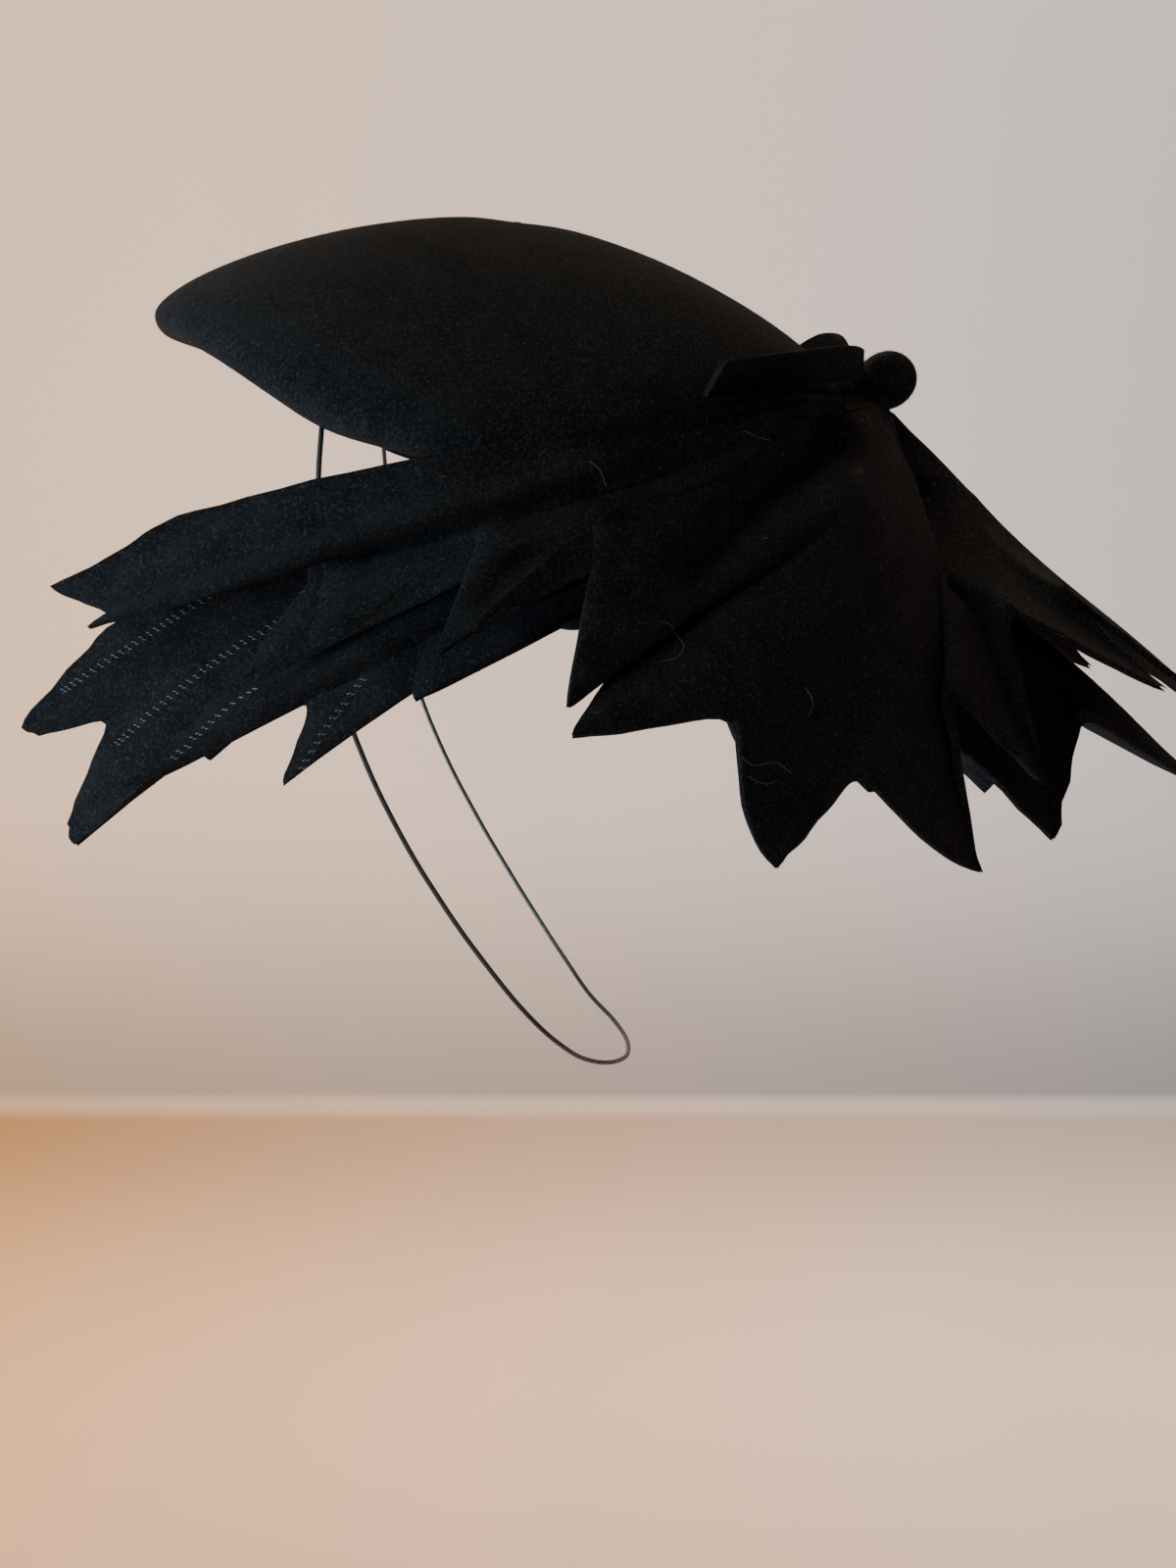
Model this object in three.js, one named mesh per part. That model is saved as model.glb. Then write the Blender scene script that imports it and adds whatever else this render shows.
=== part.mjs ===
// A tilt hat of black wool felt: a shallow blocked crown worn tipped to the front, and a brim of two layers
// of felt cut into pointed leaves. Both layers are gathered at the front by a felt tie, sweep back along the
// sides like wings and reach forward over the forehead. An elastic cord runs from the crown under the chin.
// Millimetres, +Z up, the front at -Y and the wearer's right at -X. The origin is the top of the crown's
// inside, where the hat sits on the head.
import * as THREE from "three";
import { mergeVertices } from "three/addons/utils/BufferGeometryUtils.js";

// The crown, measured in its own frame: its chord runs from the back end to the front end.
const crownHalfLength = 85;
const crownHalfWidth = 75.5;
const crownRise = 31.6;
const crownSideDepth = 25.5;
const crownEndDepth = 2;
const crownTilt = 6.8;
const crownCentreY = -11.5;
const crownFelt = 2;
const domePoint = 1.42;
const domeRound = 0.2;
const lipRadius = 4.4;
const lipTurn = 110;

// The elastic, and how far it pulls the crown's rim down where it is sewn.
const elasticDiameter = 1.2;
const elasticPull = 3.2;
const elasticPullWidth = 0.16;

// The head that the hat is blocked for: an upright ellipse round the origin, a little wider than the crown and
// reaching almost as far forward.
const headClear = 0.5;
const crownForward = 3.5;
const headHalfWidth = crownHalfWidth + headClear;
const headHalfLength = crownHalfLength - crownCentreY - crownForward;
const frontRimZ = crownFelt - crownRise - crownHalfLength * Math.sin((crownTilt * Math.PI) / 180);

// The brim: its felt, how far it stands out in front, and how far its lowest leaf hangs below the gather.
const brimFelt = 1.7;
const brimFlare = 100;
const brimDrop = 106;
const layerGap = 1.5;
const layerStep = 4.2;
const leafTuck = 1.4;
const leftSweep = -5;
const leafBlur = 0.17;
const leafRoot = 0.5;
const frontBend = 0.4;

// The gather, where both layers leave the knot: a short arc in front of the crown and just below its rim.
const gatherTurn = 9;
const gatherForward = 5.1;
const gatherDepth = 4.6;
const gatherBelow = 3.8;
const gatherDip = 2.4;
const gatherStand = crownForward + gatherForward;
const gatherZ = frontRimZ - gatherBelow;

// The knot: a rolled loop in front and two cut ends that lie back along the crown. endRecess is how far the
// crown's side has drawn in at the ends' height, and rootLift is how far an end stands out where it starts.
const loopRadius = 7.2;
const loopWidth = 25;
const loopGap = 0.6;
const loopBack = 1.8;
const endFelt = 2.4;
const endWidth = 8.2;
const endGap = 0.6;
const endRecess = 1.9;
const rootLift = 2.6;
const endStand = crownForward + endFelt / 2 + endGap - endRecess;
const loopZ = gatherZ - gatherDip + brimFelt / 2 + loopGap + loopRadius;
const rootStand = endStand + rootLift;
const loopY = -(headHalfLength + rootStand + endFelt / 2 + loopGap + loopRadius - loopBack);

// Upper layer, from the front centre to the top of the back edge: tip, notch, tip and so on. turn is degrees
// round the head and stand is the distance out from it as a share of brimFlare. drop is a share of brimDrop.
// bow and lift are how far a rib's middle stands out and up from its straight line, as the same shares. round
// is how far the side of the leaf before the row curves out past a straight cut, as a share of its ribs.
const UPPER_EDGE = [
  { turn: 0, stand: 1.02, drop: 0.754, bow: 0, lift: 0.088, round: 0 },
  { turn: 9.8, stand: 0.54, drop: 0.406, bow: -0.15, lift: 0.02, round: 0.02 },
  { turn: 12.7, stand: 0.79, drop: 0.644, bow: -0.12, lift: 0, round: 0.01 },
  { turn: 20.7, stand: 0.43, drop: 0.44, bow: -0.06, lift: 0, round: 0.02 },
  { turn: 21.7, stand: 0.54, drop: 0.845, bow: -0.01, lift: 0, round: 0.02 },
  { turn: 34.8, stand: 0.395, drop: 0.585, bow: 0, lift: 0, round: 0 },
  { turn: 32.4, stand: 0.47, drop: 1.0, bow: -0.03, lift: 0, round: 0 },
  { turn: 48.7, stand: 0.41, drop: 0.745, bow: 0.05, lift: 0, round: 0.03 },
  { turn: 58.3, stand: 0.39, drop: 0.93, bow: 0.07, lift: 0, round: 0 },
  { turn: 61.8, stand: 0.375, drop: 0.618, bow: 0.05, lift: 0, round: 0.03 },
  { turn: 78.2, stand: 0.43, drop: 0.653, bow: -0.01, lift: 0, round: 0.01 },
  { turn: 68.8, stand: 0.22, drop: 0.496, bow: -0.07, lift: -0.04, round: 0.01 },
  { turn: 77.9, stand: 0.37, drop: 0.612, bow: 0, lift: 0, round: 0 },
  { turn: 72.1, stand: 0.207, drop: 0.25, bow: 0.03, lift: 0, round: 0 },
  { turn: 89.0, stand: 0.36, drop: 0.517, bow: 0.02, lift: 0, round: 0.02 },
  { turn: 83.9, stand: 0.155, drop: 0.274, bow: 0.02, lift: 0, round: 0 },
  { turn: 100.1, stand: 0.337, drop: 0.524, bow: 0.01, lift: 0, round: 0.02 },
  { turn: 100.4, stand: 0.15, drop: 0.33, bow: 0, lift: 0, round: 0 },
  { turn: 109.5, stand: 0.22, drop: 0.58, bow: -0.03, lift: 0, round: 0.01 },
  { turn: 102.0, stand: 0.155, drop: 0.335, bow: 0, lift: 0, round: -0.02 },
  { turn: 122.9, stand: 0.336, drop: 0.471, bow: 0.03, lift: 0, round: 0.01 },
  { turn: 123.9, stand: 0.252, drop: 0.443, bow: -0.01, lift: 0.01, round: 0 },
  { turn: 131.3, stand: 0.278, drop: 0.394, bow: 0.02, lift: 0.015, round: 0 },
  { turn: 116.4, stand: 0.212, drop: 0.25, bow: 0.02, lift: 0.01, round: -0.02 },
];

// Lower layer, in the same order and with the same columns.
const LOWER_EDGE = [
  { turn: 0, stand: 0.98, drop: 0.91, bow: 0, lift: 0.2, round: 0 },
  { turn: 11.8, stand: 0.607, drop: 0.688, bow: -0.15, lift: 0, round: 0.03 },
  { turn: 17.7, stand: 0.558, drop: 0.981, bow: -0.05, lift: 0, round: 0.01 },
  { turn: 29.6, stand: 0.373, drop: 0.7, bow: 0, lift: 0, round: 0 },
  { turn: 44.5, stand: 0.365, drop: 0.815, bow: 0.03, lift: 0, round: 0.02 },
  { turn: 52.0, stand: 0.3, drop: 0.5, bow: 0.03, lift: 0, round: 0.02 },
  { turn: 60.0, stand: 0.28, drop: 0.58, bow: 0, lift: 0, round: 0.02 },
  { turn: 66.0, stand: 0.18, drop: 0.44, bow: -0.06, lift: 0, round: 0.02 },
  { turn: 75.0, stand: 0.2, drop: 0.47, bow: 0, lift: 0, round: 0.02 },
  { turn: 77.1, stand: 0.163, drop: 0.46, bow: 0, lift: 0, round: 0 },
  { turn: 91.3, stand: 0.26, drop: 0.605, bow: 0, lift: 0, round: 0.03 },
  { turn: 89.4, stand: 0.12, drop: 0.472, bow: 0, lift: 0, round: 0.01 },
  { turn: 106.0, stand: 0.199, drop: 0.785, bow: 0, lift: 0, round: 0.035 },
  { turn: 103.0, stand: 0.15, drop: 0.597, bow: 0, lift: 0, round: 0 },
  { turn: 123.1, stand: 0.267, drop: 0.79, bow: 0, lift: 0, round: 0.05 },
  { turn: 116.0, stand: 0.15, drop: 0.623, bow: 0, lift: 0, round: -0.03 },
  { turn: 133.3, stand: 0.229, drop: 0.939, bow: 0, lift: 0, round: -0.06 },
  { turn: 128.2, stand: 0.181, drop: 0.652, bow: 0, lift: 0, round: 0.03 },
  { turn: 137.6, stand: 0.295, drop: 0.686, bow: 0, lift: 0, round: 0.02 },
  { turn: 125.0, stand: 0.21, drop: 0.43, bow: 0, lift: 0, round: 0 },
];

// The elastic's route down the wearer's right side, from the crown's lip to the middle of the chin.
const ELASTIC_RIGHT = [
  [-63.2, 25, -53.05],
  [-68.3, 25, -61.2],
  [-73.5, 24.9, -77.3],
  [-74.5, 23.1, -93.8],
  [-73.5, 20.9, -106.4],
  [-71.5, 17.2, -119.3],
  [-68, 9.4, -138.2],
  [-64, 0.2, -155.5],
  [-59, -9.3, -170.9],
  [-52, -19, -185.1],
  [-43, -26.7, -194.8],
  [-33, -32.5, -200.9],
  [-18, -40, -205.5],
  [0, -43, -207],
];

const radians = THREE.MathUtils.degToRad;
const upright = new THREE.Vector3(0, 0, 1);

// A felt wall: a closed solid around the middle surface that point(column, row) gives. A wall that is joined
// round has no end columns, and a wall with a pole has its first row drawn together into one point.
function feltWall({ point, columns, rows, thickness, joined = false, pole = false }) {
  const lines = joined ? columns : columns + 1;
  const middle = [];
  for (let i = 0; i < lines; i++) {
    middle.push([]);
    for (let j = 0; j <= rows; j++) middle[i].push(point(i, j));
  }
  const column = (i) => (joined ? (i + columns) % columns : Math.min(Math.max(i, 0), columns));
  const row = (j) => Math.min(Math.max(j, 0), rows);
  const sideAt = (i, j) => {
    const along = middle[column(i + 1)][j].clone().sub(middle[column(i - 1)][j]);
    const down = middle[i][row(j + 1)].clone().sub(middle[i][row(j - 1)]);
    return down.cross(along).normalize();
  };
  const positions = [];
  const index = (i, j, face) => (column(i) * (rows + 1) + j) * 2 + face;
  for (let i = 0; i < lines; i++) {
    for (let j = 0; j <= rows; j++) {
      const across = pole && j === 0 ? new THREE.Vector3(0, 0, 1) : sideAt(i, j);
      for (const half of [thickness / 2, -thickness / 2]) {
        positions.push(...middle[i][j].clone().addScaledVector(across, half));
      }
    }
  }
  const triangles = [];
  const quad = (a, b, c, d) => triangles.push(a, b, c, a, c, d);
  for (let i = 0; i < columns; i++) {
    for (let j = 0; j < rows; j++) {
      quad(index(i, j, 0), index(i, j + 1, 0), index(i + 1, j + 1, 0), index(i + 1, j, 0));
      quad(index(i, j, 1), index(i + 1, j, 1), index(i + 1, j + 1, 1), index(i, j + 1, 1));
    }
    quad(index(i, rows, 0), index(i, rows, 1), index(i + 1, rows, 1), index(i + 1, rows, 0));
    if (!pole) quad(index(i, 0, 1), index(i, 0, 0), index(i + 1, 0, 0), index(i + 1, 0, 1));
  }
  for (let j = 0; j < rows && !joined; j++) {
    quad(index(0, j, 0), index(0, j, 1), index(0, j + 1, 1), index(0, j + 1, 0));
    quad(index(columns, j, 1), index(columns, j, 0), index(columns, j + 1, 0), index(columns, j + 1, 1));
  }
  return withoutSlivers(positions, triangles);
}

// Merges the points that coincide, and drops the triangles that this leaves without an area.
function withoutSlivers(positions, triangles) {
  const loose = new THREE.BufferGeometry();
  loose.setAttribute("position", new THREE.Float32BufferAttribute(positions, 3));
  loose.setIndex(triangles);
  const merged = mergeVertices(loose, 1e-3);
  const kept = [];
  for (let i = 0; i < merged.index.count; i += 3) {
    const corners = [0, 1, 2].map((k) => merged.index.getX(i + k));
    if (new Set(corners).size === 3) kept.push(...corners);
  }
  merged.setIndex(kept);
  return merged;
}

// The height of the dome over its rim at a share of its radius, flattened a little round the top.
function domeHeight(radial) {
  const r = Math.sqrt(domeRound ** 2 + (1 - domeRound ** 2) * radial ** 2);
  return Math.cos(Math.asin(Math.min(r, 1) ** (1 / domePoint))) ** domePoint;
}

// The crown: a dome whose sides reach lower than its ends, and a lip turned under all round.
function crownGeometry() {
  const columns = 36;
  const domeRows = 9;
  const lipRows = 5;
  const anchor = ELASTIC_RIGHT[0];
  const anchorAngle = Math.atan2(-anchor[0] / crownHalfWidth, (anchor[1] - crownCentreY) / crownHalfLength);
  const point = (i, j) => {
    const angle = ((i + 0.5) / columns) * 2 * Math.PI;
    const side = Math.abs(Math.sin(angle));
    const fromAnchor = (Math.min(angle, 2 * Math.PI - angle) - anchorAngle) / elasticPullWidth;
    const pull = elasticPull * Math.exp(-(fromAnchor ** 2));
    const depth = crownEndDepth + (crownSideDepth - crownEndDepth) * side ** 3.4;
    const outerRise = crownRise - crownFelt / 2;
    const radial = Math.sin((Math.PI / 2) * Math.min(j / domeRows, 1)) ** 1.15;
    const fallen = 1 - domeHeight(radial) / domeHeight(0);
    const turned = radians(lipTurn) * Math.max((j - domeRows) / lipRows, 0);
    const inward = lipRadius * (1 - Math.cos(turned));
    const below = lipRadius * Math.sin(turned) + pull * (j / (domeRows + lipRows)) ** 6;
    return new THREE.Vector3(
      Math.sin(angle) * ((crownHalfWidth - crownFelt / 2) * radial - inward),
      Math.cos(angle) * ((crownHalfLength - crownFelt / 2) * radial - inward),
      outerRise - (outerRise + depth) * fallen - below,
    );
  };
  const rows = domeRows + lipRows;
  const wall = feltWall({ point, columns, rows, thickness: crownFelt, joined: true, pole: true });
  wall.rotateX(radians(crownTilt));
  wall.computeBoundingBox();
  wall.translate(0, crownCentreY, crownFelt - wall.boundingBox.max.z);
  return wall;
}

// A point of the brim: share 0 is the gather at the knot, and share 1 is the end that the rib's row describes.
function brimPoint(rib, share) {
  const fromTurn = gatherTurn * rib.start;
  const fromStand = gatherStand + gatherDepth * Math.cos((rib.start * Math.PI) / 2);
  const fromZ = gatherZ - gatherDip * Math.cos((rib.start * Math.PI) / 2);
  const back = rib.turn / 131;
  const middle = Math.sin(Math.PI * Math.min(share, 1)) ** 1.3;
  const sweep = rib.side < 0 ? leftSweep * Math.sin(Math.PI * Math.min(back, 1)) ** 2 * share : 0;
  const turn = radians(fromTurn + (rib.turn - fromTurn) * share ** 0.95 + sweep);
  const tuck = leafTuck * rib.tuck * Math.min(share * 1.5, 1);
  const bow = rib.bow * brimFlare * middle;
  const stand = fromStand + (rib.stand * brimFlare - fromStand) * share ** (1 + back) + bow + tuck;
  const toZ = gatherZ - rib.drop * brimDrop;
  const lift = rib.lift * brimDrop * Math.sin(Math.PI * Math.min(share, 1) ** 0.6);
  const z = fromZ + (toZ - fromZ) * share ** (1 + 0.85 * back ** 1.5) + lift;
  return new THREE.Vector3(
    -rib.side * (headHalfWidth + stand) * Math.sin(turn),
    -(headHalfLength + stand) * Math.cos(turn),
    z,
  );
}

// The sheet that the leaves are cut from: each rib's row averaged with those beside it. The average narrows
// towards the front centre, where the sheet bends most, and towards the last rib, which is the layer's own edge.
function sheetOf(half) {
  return half.map((rib) => {
    const flat = THREE.MathUtils.smoothstep(rib.start, 0, frontBend);
    const width = leafBlur * (0.25 + 0.75 * flat) * (1 - rib.start ** 4) + 1e-3;
    const sum = { turn: 0, stand: 0, drop: 0, bow: 0, lift: 0 };
    let weights = 0;
    for (const [sign, other] of half.flatMap((near) => [[1, near], [-1, near]])) {
      const weight = Math.exp(-(((rib.start - sign * other.start) / width) ** 2));
      weights += weight;
      for (const key in sum) sum[key] += weight * other[key] * (key === "turn" ? sign : 1);
    }
    for (const key in sum) sum[key] /= weights;
    return { ...rib, ...sum, tuck: 0 };
  });
}

// A point of a leaf: near the gather it lies on the sheet, and towards its end it follows the rib's own row.
function leafPoint(rib, share) {
  const gather = brimPoint(rib, 0);
  const ownLength = brimPoint(rib, 1).distanceTo(gather);
  const sheetLength = brimPoint(rib.sheet, 1).distanceTo(gather);
  const onSheet = brimPoint(rib.sheet, (share * ownLength) / sheetLength);
  const freed = THREE.MathUtils.smoothstep(share, leafRoot, 1);
  return onSheet.lerp(brimPoint(rib, share), freed);
}

// The ribs of a layer, from the back of the left wing round the front to the back of the right wing. Between a
// tip and a notch there are more ribs. start is a rib's place along the gather, from 0 at the front centre to 1.
function ribsOf(edge) {
  const steps = 3;
  const half = [{ ...edge[0], start: 0, reach: 1, tuck: 1 }];
  for (let i = 1; i < edge.length; i++) {
    for (let k = 1; k <= steps; k++) {
      const part = k / steps;
      const mix = (key) => edge[i - 1][key] * (1 - part) + edge[i][key] * part;
      half.push({
        turn: mix("turn"),
        stand: mix("stand"),
        drop: mix("drop"),
        bow: mix("bow"),
        lift: mix("lift"),
        start: (i - 1 + part) / (edge.length - 1),
        reach: 1 + edge[i].round * Math.sin(Math.PI * part),
        tuck: (i % 2 ? 1 - part : part) ** 3,
      });
    }
  }
  const sheet = sheetOf(half);
  const onSide = (side) => half.map((rib, i) => ({ ...rib, side, sheet: { ...sheet[i], side } }));
  return [...onSide(-1).slice(1).reverse(), ...onSide(1)];
}

// One layer of the brim. A cover is the layer above it: the layer starts a little below the cover's start, and
// each point is drawn in towards the head as far as it must be to stay inside the cover by the gap.
function brimGeometry(edge, cover) {
  const ribs = ribsOf(edge);
  const rows = 7;
  const places = ribs.map((rib) => {
    const line = [];
    for (let j = 0; j <= rows; j++) {
      const share = (j / rows) * rib.reach;
      const place = leafPoint(rib, share);
      if (cover) place.z -= layerStep * Math.max(1 - share, 0);
      line.push(place);
    }
    return line;
  });
  if (cover) {
    const least = places.map((line) => line.map((place) => roomInside(place, cover)));
    let room = spread(least, (values) => Math.min(...values));
    room = spread(room, (values) => values.reduce((sum, v) => sum + v, 0) / values.length);
    room.forEach((line, i) => (line[rows] = least[i][rows]));
    places.forEach((line, i) =>
      line.forEach((place, j) => place.multiply(new THREE.Vector3(room[i][j], room[i][j], 1))),
    );
  }
  return feltWall({ point: (i, j) => places[i][j], columns: ribs.length - 1, rows, thickness: brimFelt });
}

// How far in a point must be drawn, as a share of its distance from the upright axis, to stay inside a cover.
function roomInside(place, cover) {
  const distance = Math.hypot(place.x, place.y);
  const caster = new THREE.Raycaster();
  let room = 1;
  for (const turned of [-2.5, 0, 2.5]) {
    for (const raised of [-4, 0, 4]) {
      const out = new THREE.Vector3(place.x, place.y, 0).normalize().applyAxisAngle(upright, radians(turned));
      caster.set(new THREE.Vector3(0, 0, place.z + raised), out);
      const hits = caster.intersectObject(cover);
      if (hits.length) room = Math.min(room, (hits[0].distance - layerGap - brimFelt / 2) / distance);
    }
  }
  return room;
}

// A table of the same shape, where each value is made from the values at and next to its place.
function spread(table, make) {
  return table.map((line, i) =>
    line.map((_, j) => {
      const values = [];
      for (const near of [table[i - 1], table[i], table[i + 1]]) {
        if (near) values.push(...near.slice(Math.max(j - 1, 0), j + 2));
      }
      return make(values);
    }),
  );
}

// The loop of the knot: a roll of felt across the front, with rounded ends.
function loopGeometry() {
  const profile = [new THREE.Vector2(0, -loopWidth / 2)];
  for (let i = 0; i <= 8; i++) {
    const a = (i / 8) * Math.PI;
    const r = loopRadius * (0.55 + 0.45 * Math.sin(a) ** 0.6);
    profile.push(new THREE.Vector2(r, (-Math.cos(a) * loopWidth) / 2));
  }
  profile.push(new THREE.Vector2(0, loopWidth / 2));
  const roll = new THREE.LatheGeometry(profile, 16);
  roll.rotateZ(-Math.PI / 2);
  roll.translate(0, loopY, loopZ);
  return withoutSlivers(Array.from(roll.attributes.position.array), Array.from(roll.index.array));
}

// A cut end of the knot: a strip of felt on edge that lies back along the crown, from turn to turn. startUp and
// stopUp are its height over the crown's front rim at both ends, and rise lifts it between them, all as shares
// of endWidth.
function endGeometry({ side, startTurn, stopTurn, startUp, stopUp, rise }) {
  const columns = 12;
  const rows = 3;
  const point = (i, j) => {
    const share = i / columns;
    const across = j / rows - 0.5;
    const turn = radians(startTurn + (stopTurn - startTurn) * share + 3.5 * across * share);
    const stand = endStand + (rootStand - endStand) * (1 - share) ** 4;
    const up = startUp + (stopUp - startUp) * share ** 1.2 + rise * Math.sin(Math.PI * share ** 0.6);
    return new THREE.Vector3(
      -side * (headHalfWidth + stand) * Math.sin(turn),
      -(headHalfLength + stand) * Math.cos(turn),
      frontRimZ + (up - across) * endWidth,
    );
  };
  return feltWall({ point, columns, rows, thickness: endFelt });
}

function elasticGeometry() {
  const right = ELASTIC_RIGHT.map(([x, y, z]) => new THREE.Vector3(x, y, z));
  const left = right.slice(0, -1).reverse().map((p) => new THREE.Vector3(-p.x, p.y, p.z));
  const section = new THREE.Shape();
  section.absarc(0, 0, elasticDiameter / 2, 0, 2 * Math.PI);
  return new THREE.ExtrudeGeometry(section, {
    steps: 70,
    curveSegments: 4,
    bevelEnabled: false,
    extrudePath: new THREE.CatmullRomCurve3([...right, ...left]),
  });
}

const wool = new THREE.MeshStandardMaterial({ color: 0x18181a, roughness: 0.95, metalness: 0 });
const elasticBlack = new THREE.MeshStandardMaterial({ color: 0x101412, roughness: 0.6, metalness: 0 });

const hat = new THREE.Group();

function add(name, geometry, material) {
  const mesh = new THREE.Mesh(geometry, material);
  mesh.name = name;
  hat.add(mesh);
  return mesh;
}

add("crown", crownGeometry(), wool);
const upper = add("brim_upper_leaves", brimGeometry(UPPER_EDGE), wool);
add("brim_lower_leaves", brimGeometry(LOWER_EDGE, upper), wool);
add("knot_wrap", loopGeometry(), wool);
const rightEnd = { side: 1, startTurn: 7, stopTurn: 52, startUp: 0.61, stopUp: -0.22, rise: 0.12 };
const leftEnd = { side: -1, startTurn: 7, stopTurn: 42, startUp: 0.73, stopUp: -0.1, rise: 0.91 };
add("knot_end_right", endGeometry(rightEnd), wool);
add("knot_end_left", endGeometry(leftEnd), wool);
add("chin_elastic", elasticGeometry(), elasticBlack);

export default hat;
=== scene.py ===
"""A tilt hat of black wool felt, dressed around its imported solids.

The felt pieces are subdivided copies of the solids with softened cut edges, a short lying nap and a fine
fibrous surface. Millimetres are turned to Blender's metres by MM. The front of the hat is at -Y.
"""

import math

import bmesh
import bpy
import numpy as np
from mathutils import Matrix, Vector, noise
from mathutils.bvhtree import BVHTree
from mathutils.kdtree import KDTree


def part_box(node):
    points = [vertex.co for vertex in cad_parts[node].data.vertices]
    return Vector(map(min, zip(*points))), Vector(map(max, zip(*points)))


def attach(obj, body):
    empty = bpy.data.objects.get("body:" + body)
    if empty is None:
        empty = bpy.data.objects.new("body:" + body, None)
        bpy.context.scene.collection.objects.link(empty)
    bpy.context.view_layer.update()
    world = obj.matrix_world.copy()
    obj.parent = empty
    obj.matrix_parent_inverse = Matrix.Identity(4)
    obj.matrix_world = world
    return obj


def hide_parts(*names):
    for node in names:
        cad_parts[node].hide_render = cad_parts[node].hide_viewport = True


bl_info = {
    "name": "Felt tilt hat",
    "version": (1, 0, 0),
    "blender": (4, 5, 0),
    "location": "3D View > Sidebar > Hat",
    "description": "Dresses the solids of a felt tilt hat with leaves, a knot, an elastic and a nap",
    "category": "Object",
}

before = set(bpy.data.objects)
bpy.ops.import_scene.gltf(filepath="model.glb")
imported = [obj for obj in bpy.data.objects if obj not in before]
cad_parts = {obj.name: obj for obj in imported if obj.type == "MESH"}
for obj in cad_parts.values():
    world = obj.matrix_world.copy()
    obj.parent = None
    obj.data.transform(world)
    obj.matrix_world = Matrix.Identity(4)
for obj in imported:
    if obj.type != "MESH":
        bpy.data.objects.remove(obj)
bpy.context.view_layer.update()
MM = 0.001

# Where the photograph was taken from, and its size in pixels.
CAMERA_PLACE = Vector((-0.4753, -0.0325, -0.0712))
CAMERA_PITCH = math.radians(8)
CAMERA_LENS = 43.2
SENSOR = 36
PHOTO_WIDTH = 1200
PHOTO_HEIGHT = 1600

# The backdrop: its floor's height, how far back its wall stands, the width of the turn between them, its
# size, and half the width in view.
FLOOR_Z = -0.4
WALL_X = 0.54
TURN_WIDTH = 0.012
BACKDROP = 3.0
VIEW_HALF_WIDTH = 0.33

# The place where both layers of the brim are gathered, and the top of the crown.
GATHER = Vector((0, -0.101, -0.045))
CROWN_TOP = Vector((0, -0.0115, 0.002))

# The elastic's route down the wearer's right side to the middle of the chin, in millimetres.
ELASTIC_RIGHT = [
    (-61.9, 25, -50.9),
    (-68.3, 25, -61.2),
    (-73.5, 24.9, -77.3),
    (-74.5, 23.1, -93.8),
    (-73.5, 20.9, -106.4),
    (-71.5, 17.2, -119.3),
    (-68, 9.4, -138.2),
    (-64, 0.2, -155.5),
    (-59, -9.3, -170.9),
    (-52, -19, -185.1),
    (-43, -26.7, -194.8),
    (-33, -32.5, -200.9),
    (-18, -40, -205.5),
    (0, -43, -207),
]

# A point inside the head, on its middle plane. Folds and curls move the felt away from it or towards it.
INSIDE = Vector((0, -0.02, -0.09))

# The folds that the photograph shows in the leaves: the pixels that each runs through, how far it stands
# out (a valley is negative) and half its width, in millimetres.
FOLDS = (
    ([(872, 430), (800, 496), (729, 568), (684, 628)], -6.0, 6.2),
    ([(896, 405), (943, 485), (976, 560), (1000, 610)], -5.6, 5.6),
    ([(845, 425), (740, 446), (640, 462), (560, 476)], 1.4, 6.0),
    ([(500, 482), (417, 506), (337, 556), (265, 597), (170, 626)], 1.5, 5.5),
    ([(250, 512), (190, 540), (130, 570), (75, 594)], -2.4, 2.6),
    ([(300, 566), (250, 586), (180, 612), (110, 634)], -1.6, 2.2),
    ([(450, 592), (400, 622), (350, 645), (322, 655)], -2.0, 2.6),
    ([(565, 545), (530, 575), (490, 610), (458, 640)], -2.0, 2.6),
    ([(880, 470), (800, 600), (770, 700), (787, 850)], 2.0, 16.0),
)

# The stitched tucks along the lower leaves of the right wing, from the root to the tip of each.
TUCKS = (
    [(225, 600), (182, 628), (120, 668), (62, 706)],
    [(297, 628), (240, 660), (180, 706), (118, 760)],
    [(262, 700), (225, 728), (192, 756), (172, 774)],
    [(372, 690), (352, 716), (330, 748), (306, 786)],
)

# Stray hairs on the upper leaves, in pixels, and how high each arches off the felt at its middle, in steps
# of 0.08 mm.
HAIRS = (
    ([(757, 440), (775, 448), (800, 465)], 5),
    ([(671, 634), (686, 640), (698, 660), (690, 672), (674, 676)], 3),
    ([(755, 772), (768, 781), (790, 778), (808, 790)], 4),
    ([(762, 792), (780, 800), (792, 796)], 3),
    ([(600, 470), (612, 480), (618, 496)], 3),
    ([(820, 700), (828, 716), (824, 732)], 3),
)

# How many short bits of lint lie on the upper leaves.
LINT_BITS = 150

# How many fibres of the nap are drawn on each piece.
NAP_FIBRES = {"crown": 40000, "upper": 48000, "lower": 36000, "loop": 2500, "core": 1500, "end": 2200}

# How far the leaves' cut edges curl, and how far in from the edge the curl reaches, in millimetres.
EDGE_CURL = 1.2
CURL_REACH = 4.0

# Blender's noise vectors differ from run to run without a seed.
NOISE_SEED = 5


def linear(code):
    """The linear colour of an sRGB hex code."""
    channels = [int(code[i : i + 2], 16) / 255 for i in (1, 3, 5)]
    return [c / 12.92 if c <= 0.04045 else ((c + 0.055) / 1.055) ** 2.4 for c in channels]


def length_property(name, description, millimetres):
    return bpy.props.FloatProperty(
        name=name, description=description, default=millimetres * MM, unit="LENGTH", precision=5
    )


def colour_property(name, description, code):
    return bpy.props.FloatVectorProperty(
        name=name, description=description, default=linear(code), subtype="COLOR", size=3, min=0, max=1
    )


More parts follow.
